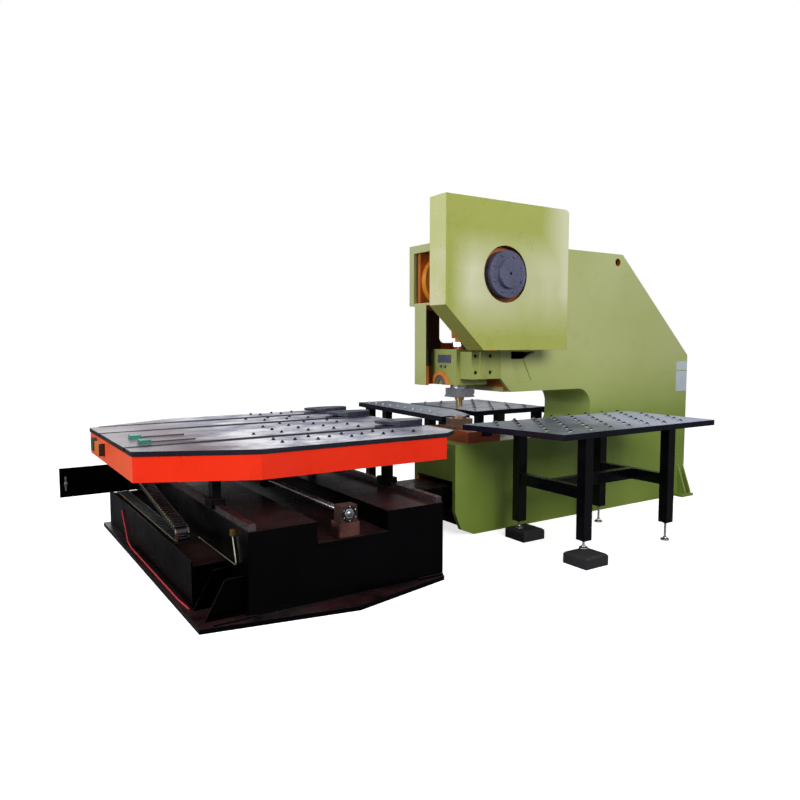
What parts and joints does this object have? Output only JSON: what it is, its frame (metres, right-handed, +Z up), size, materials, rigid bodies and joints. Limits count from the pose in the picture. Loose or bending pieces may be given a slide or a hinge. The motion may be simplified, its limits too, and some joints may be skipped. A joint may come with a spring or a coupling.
{
  "type": "cnc punching machine",
  "caption": "Deep-throat punching press with a flywheel drive, a driven feed platform with sheet clamps, and ball tables around the die.",
  "frame": {"origin": "middle of the whole machine's footprint, on the floor", "axes": "+X along the press towards its back, +Y away from the flywheel side, +Z up"},
  "size_m": [5.77, 3.27, 2.7],
  "materials": {
    "press_green": "satin enamel",
    "primer_orange": "anti-rust primer",
    "ram_green": "satin enamel",
    "bright_steel": "ground",
    "tool_steel": "ground, lightly browned",
    "bolster_red": "gloss enamel",
    "slate_steel": "machined",
    "clamp_orange": "enamel",
    "dark_fasteners": "blackened",
    "label_grey": "satin",
    "belt_rubber": "matte",
    "table_slate": "gloss enamel, worn",
    "frame_black": "gloss enamel",
    "ball_chrome": "polished",
    "pipe_steel": "drawn",
    "hose_red": "satin",
    "platform_red": "gloss enamel",
    "block_steel": "oiled",
    "box_orange": "enamel",
    "chain_plastic": "satin",
    "valve_teal": "satin"
  },
  "bodies": {
    "machine": {"base_beams": "frame_black", "base_channel": "frame_black", "base_floor_plate": "frame_black", "bearing_housings": "primer_orange", "bolster": "bolster_red", "cable_trough": "frame_black", "cover_face_plate": "press_green", "die": "tool_steel", "die_holder": "tool_steel", "drag_chain": "chain_plastic", "drive_belts": "belt_rubber", "drive_motor": "primer_orange", "far_side_plate": "press_green", "flywheel_cover": "press_green", "frame_cross_plates": "primer_orange", "frame_shell": "press_green", "front_table_frame": "frame_black", "front_table_top": "table_slate", "gib_bolts": "dark_fasteners", "grease_pipe": "pipe_steel", "head_frame": "press_green", "isolation_pads": "belt_rubber", "label_plates": "label_grey", "levelling_feet": "dark_fasteners", "near_side_plate": "press_green", "ram_gibs": "ram_green", "rear_table_frames": "frame_black", "rear_table_top": "table_slate", "red_hose": "hose_red", "strip_table_top": "table_slate", "table_balls": "ball_chrome", "throat_liner": "press_green", "y_motor": "frame_black", "y_rails": "bright_steel", "y_screw_blocks": "block_steel"},
    "flywheel": {"flywheel": "primer_orange", "clutch_hub": "slate_steel"},
    "motor_pulley": {"motor_pulley": "tool_steel"},
    "crankshaft": {"crankshaft": "bright_steel"},
    "ram": {"ram": "ram_green", "ram_front_fittings": "slate_steel", "tool_clamp_arch": "clamp_orange", "adjusting_nut": "bright_steel", "connecting_rod": "primer_orange", "punch_holder": "bright_steel", "punch": "tool_steel"},
    "platform": {"platform_frame": "platform_red", "platform_tops": "table_slate", "platform_balls": "ball_chrome", "platform_supports": "frame_black", "x_guides": "bright_steel", "platform_end_boxes": "box_orange", "air_valves": "valve_teal", "chain_bracket": "frame_black"},
    "feed_screw": {"y_ball_screw": "bright_steel"},
    "clamp_screw": {"x_ball_screw": "bright_steel"},
    "clamp_carriage": {"clamp_carriage": "frame_black"},
    "jaw_near": {"upper_jaw_near": "frame_black"},
    "jaw_middle": {"upper_jaw_middle": "frame_black"},
    "jaw_far": {"upper_jaw_far": "frame_black"}
  },
  "joints": [
    {"name": "flywheel_spin", "type": "hinge", "parent": "machine", "child": "flywheel", "pos_m": [0.068, -0.64, 2.137], "axis": [0, 1, 0], "continuous": true},
    {"name": "motor_spin", "type": "hinge", "parent": "machine", "child": "motor_pulley", "pos_m": [0.64, -0.64, 1.66], "axis": [0, 1, 0], "continuous": true},
    {"name": "crank_turn", "type": "hinge", "parent": "machine", "child": "crankshaft", "pos_m": [0.068, -0.175, 2.137], "axis": [0, 1, 0], "range_deg": [0, 180]},
    {"name": "ram_stroke", "type": "slide", "parent": "machine", "child": "ram", "axis": [0, 0, -1], "range_m": [0, 0.08]},
    {"name": "platform_feed", "type": "slide", "parent": "machine", "child": "platform", "axis": [0, 1, 0], "range_m": [-0.6, 0.6]},
    {"name": "feed_screw_turn", "type": "hinge", "parent": "machine", "child": "feed_screw", "pos_m": [-1.6, 0.05, 0.548], "axis": [0, 1, 0], "range_deg": [-5400, 5400]},
    {"name": "clamp_feed", "type": "slide", "parent": "platform", "child": "clamp_carriage", "axis": [1, 0, 0], "range_m": [-1.6, 0]},
    {"name": "clamp_screw_turn", "type": "hinge", "parent": "platform", "child": "clamp_screw", "pos_m": [-1.7, 0.3, 0.866], "axis": [1, 0, 0], "range_deg": [-18000, 0]},
    {"name": "jaw_near_pivot", "type": "hinge", "parent": "clamp_carriage", "child": "jaw_near", "pos_m": [-0.8, -0.44, 0.992], "axis": [0, -1, 0], "range_deg": [0, 7]},
    {"name": "jaw_middle_pivot", "type": "hinge", "parent": "clamp_carriage", "child": "jaw_middle", "pos_m": [-0.8, 0.375, 0.992], "axis": [0, -1, 0], "range_deg": [0, 7]},
    {"name": "jaw_far_pivot", "type": "hinge", "parent": "clamp_carriage", "child": "jaw_far", "pos_m": [-0.8, 0.8, 0.992], "axis": [0, -1, 0], "range_deg": [0, 7]}
  ],
  "couplings": [
    {"joint": "motor_spin", "follows": "flywheel_spin", "ratio": 7.2963},
    {"joint": "crank_turn", "follows": "ram_stroke", "rad_per_m": 39.27},
    {"joint": "feed_screw_turn", "follows": "platform_feed", "rad_per_m": 157.08},
    {"joint": "clamp_screw_turn", "follows": "clamp_feed", "rad_per_m": 196.35}
  ]
}
